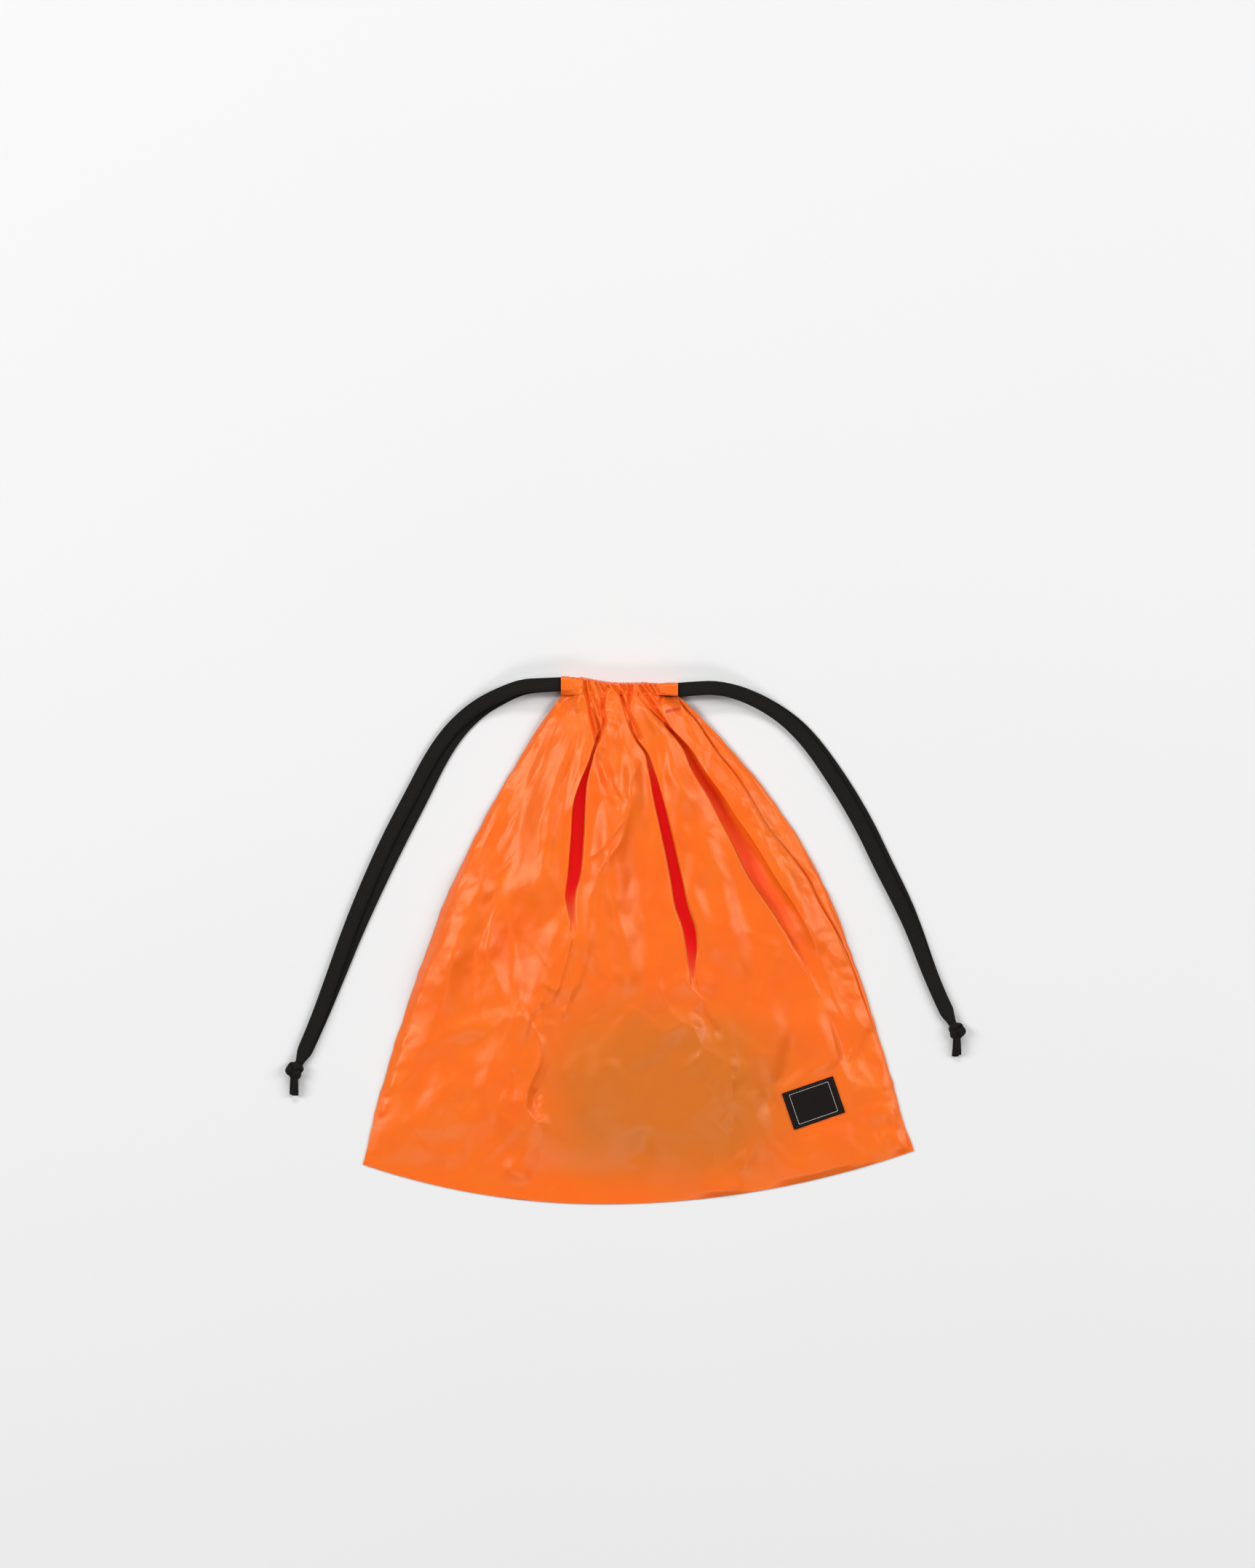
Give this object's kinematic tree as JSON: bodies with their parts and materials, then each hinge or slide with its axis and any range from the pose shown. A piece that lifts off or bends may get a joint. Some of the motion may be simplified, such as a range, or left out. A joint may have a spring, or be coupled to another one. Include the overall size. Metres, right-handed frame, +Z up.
{
  "type": "stuff sack",
  "caption": "Thin nylon stuff sack lying flat, its mouth gathered by a pair of black drawcord loops with knotted ends, with a plain woven label.",
  "frame": {"origin": "middle of the sack's box, on the surface that the back panel lies on", "axes": "+X across the sack, to the side with the label; +Y from the bottom edge to the mouth; +Z up from the back panel to the front panel"},
  "size_m": [0.4757, 0.362, 0.0273],
  "materials": {
    "cloth": "glossy coated nylon taffeta",
    "sewing_thread": "polyester thread",
    "label_weave": "damask woven, plain off-white border line",
    "label_thread": "polyester thread",
    "braided_cord": "matt flat braid"
  },
  "bodies": {
    "sack": {"front_panel": "cloth", "back_panel": "cloth", "left_seam_allowance": "cloth", "right_seam_allowance": "cloth", "left_seam_thread": "sewing_thread", "right_seam_thread": "sewing_thread", "front_gathers": "cloth", "back_gathers": "cloth", "front_casing_stitches": "sewing_thread", "back_casing_stitches": "sewing_thread", "left_bar_tack": "sewing_thread", "right_bar_tack": "sewing_thread", "label": "label_weave", "label_stitches": "label_thread"},
    "left_sleeve_end": {"left_sleeve": "cloth", "left_sleeve_stitches": "sewing_thread"},
    "right_sleeve_end": {"right_sleeve": "cloth", "right_sleeve_stitches": "sewing_thread"},
    "left_drawcord": {"left_cord_casing_loop": "braided_cord", "left_front_strand": "braided_cord", "left_back_strand": "braided_cord", "left_knot": "braided_cord", "left_front_tail": "braided_cord", "left_back_tail": "braided_cord"},
    "right_drawcord": {"right_cord_casing_loop": "braided_cord", "right_front_strand": "braided_cord", "right_back_strand": "braided_cord", "right_knot": "braided_cord", "right_front_tail": "braided_cord", "right_back_tail": "braided_cord"}
  },
  "joints": [
    {"name": "left_cord_pull", "type": "slide", "parent": "sack", "child": "left_drawcord", "axis": [-1, 0, 0], "range_m": [0, 0.008]},
    {"name": "right_cord_pull", "type": "slide", "parent": "sack", "child": "right_drawcord", "axis": [1, 0, 0], "range_m": [0, 0.008]},
    {"name": "right_sleeve_draw", "type": "slide", "parent": "sack", "child": "right_sleeve_end", "axis": [-1, 0, 0], "range_m": [0, 0.008], "deforming": ["front_gathers", "back_gathers", "front_casing_stitches", "back_casing_stitches"]},
    {"name": "left_sleeve_draw", "type": "slide", "parent": "sack", "child": "left_sleeve_end", "axis": [1, 0, 0], "range_m": [0, 0.008], "deforming": ["front_gathers", "back_gathers", "front_casing_stitches", "back_casing_stitches"]}
  ],
  "couplings": [
    {"joint": "right_sleeve_draw", "follows": "left_cord_pull", "ratio": 1},
    {"joint": "left_sleeve_draw", "follows": "right_cord_pull", "ratio": 1}
  ]
}
